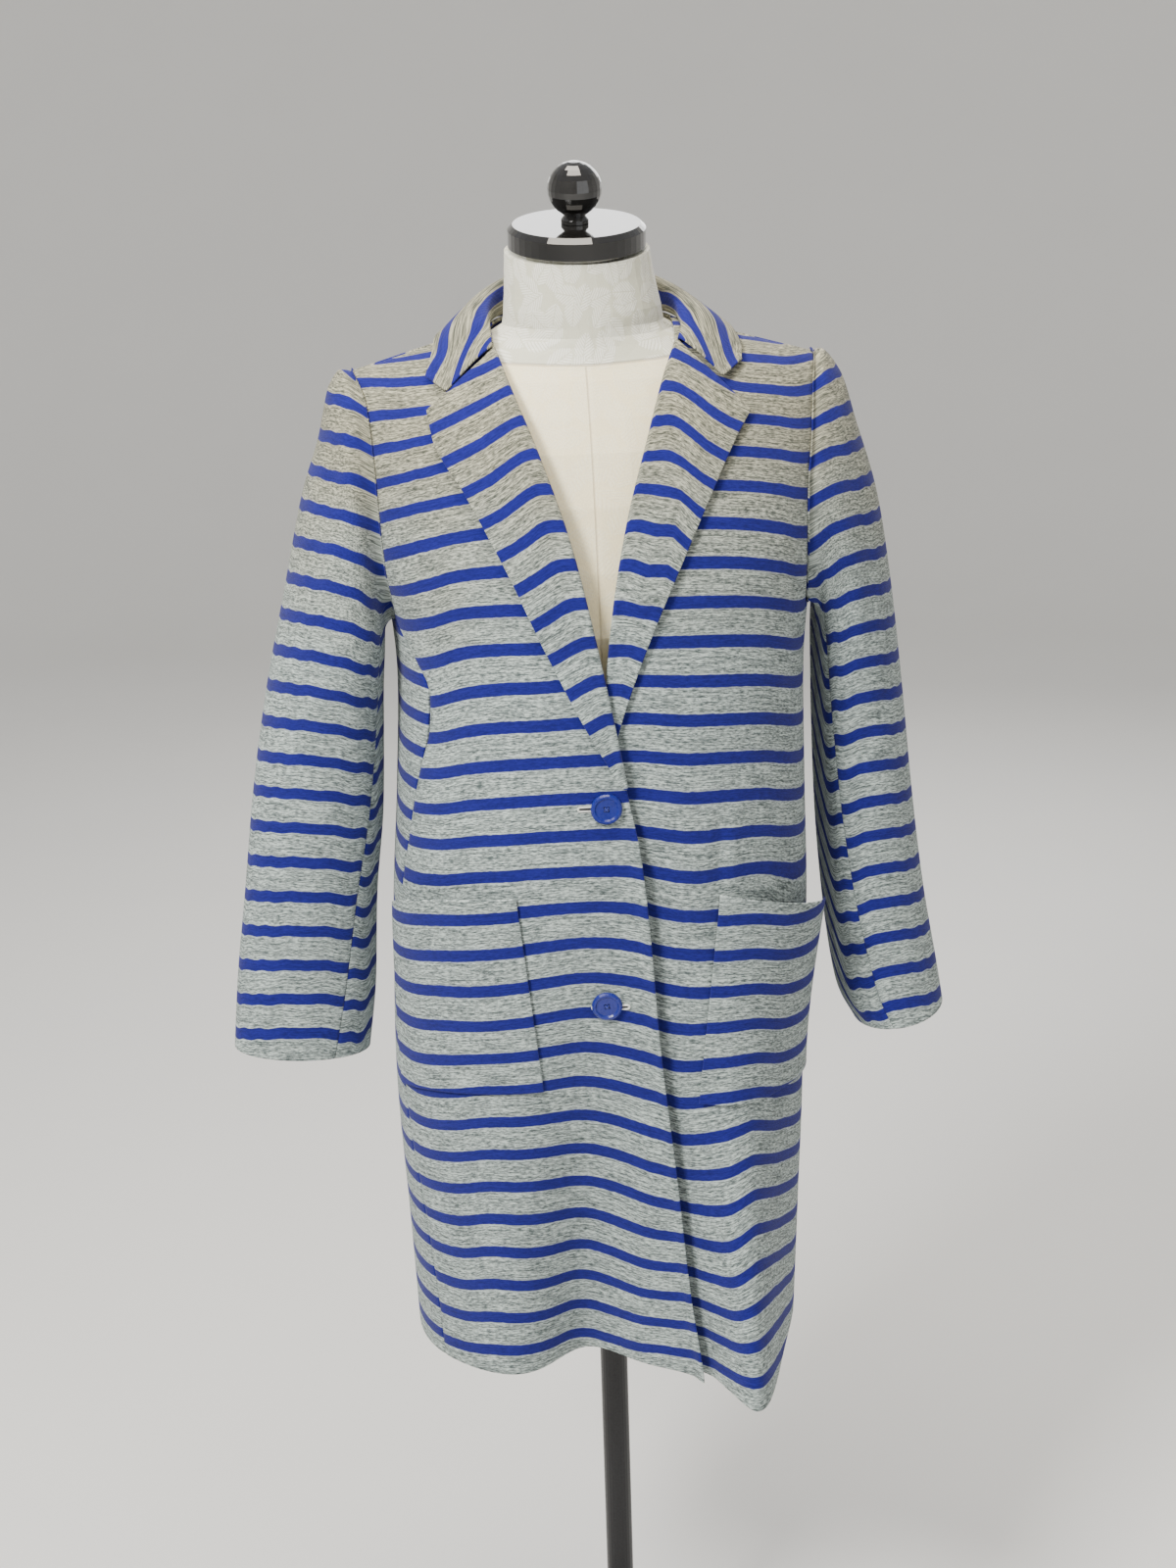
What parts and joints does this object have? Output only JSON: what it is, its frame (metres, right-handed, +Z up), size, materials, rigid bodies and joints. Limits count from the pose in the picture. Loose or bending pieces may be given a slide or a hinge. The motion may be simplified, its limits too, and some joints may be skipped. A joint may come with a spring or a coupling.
{
  "type": "striped knit blazer on a dress form with a pole stand",
  "caption": "Long striped knit blazer with notched lapels and patch pockets, buttoned over a limbless dress form on a pole stand.",
  "frame": {"origin": "centre of the stand base's flat underside, on the floor", "axes": "+Z up, the coat faces -Y, and the wearer's right side is at -X"},
  "size_m": [0.6243, 0.3506, 1.5036],
  "materials": {
    "striped_knit": "double knit, grey heather with blue stripes",
    "blue_plastic": "polished",
    "form_cover": "cream woven cover",
    "black_gloss": "black lacquer",
    "stand_metal": "satin black"
  },
  "bodies": {
    "root": {"front_right": "striped_knit", "front_left": "striped_knit", "back": "striped_knit", "sleeve_upper_right": "striped_knit", "sleeve_under_right": "striped_knit", "sleeve_upper_left": "striped_knit", "sleeve_under_left": "striped_knit", "lapel_right": "striped_knit", "lapel_left": "striped_knit", "collar": "striped_knit", "pocket_right": "striped_knit", "pocket_left": "striped_knit", "button_upper": "blue_plastic", "button_lower": "blue_plastic", "form_torso": "form_cover", "form_neck_cap": "black_gloss", "form_finial": "black_gloss", "stand_pole": "stand_metal", "stand_base": "stand_metal"}
  },
  "joints": []
}
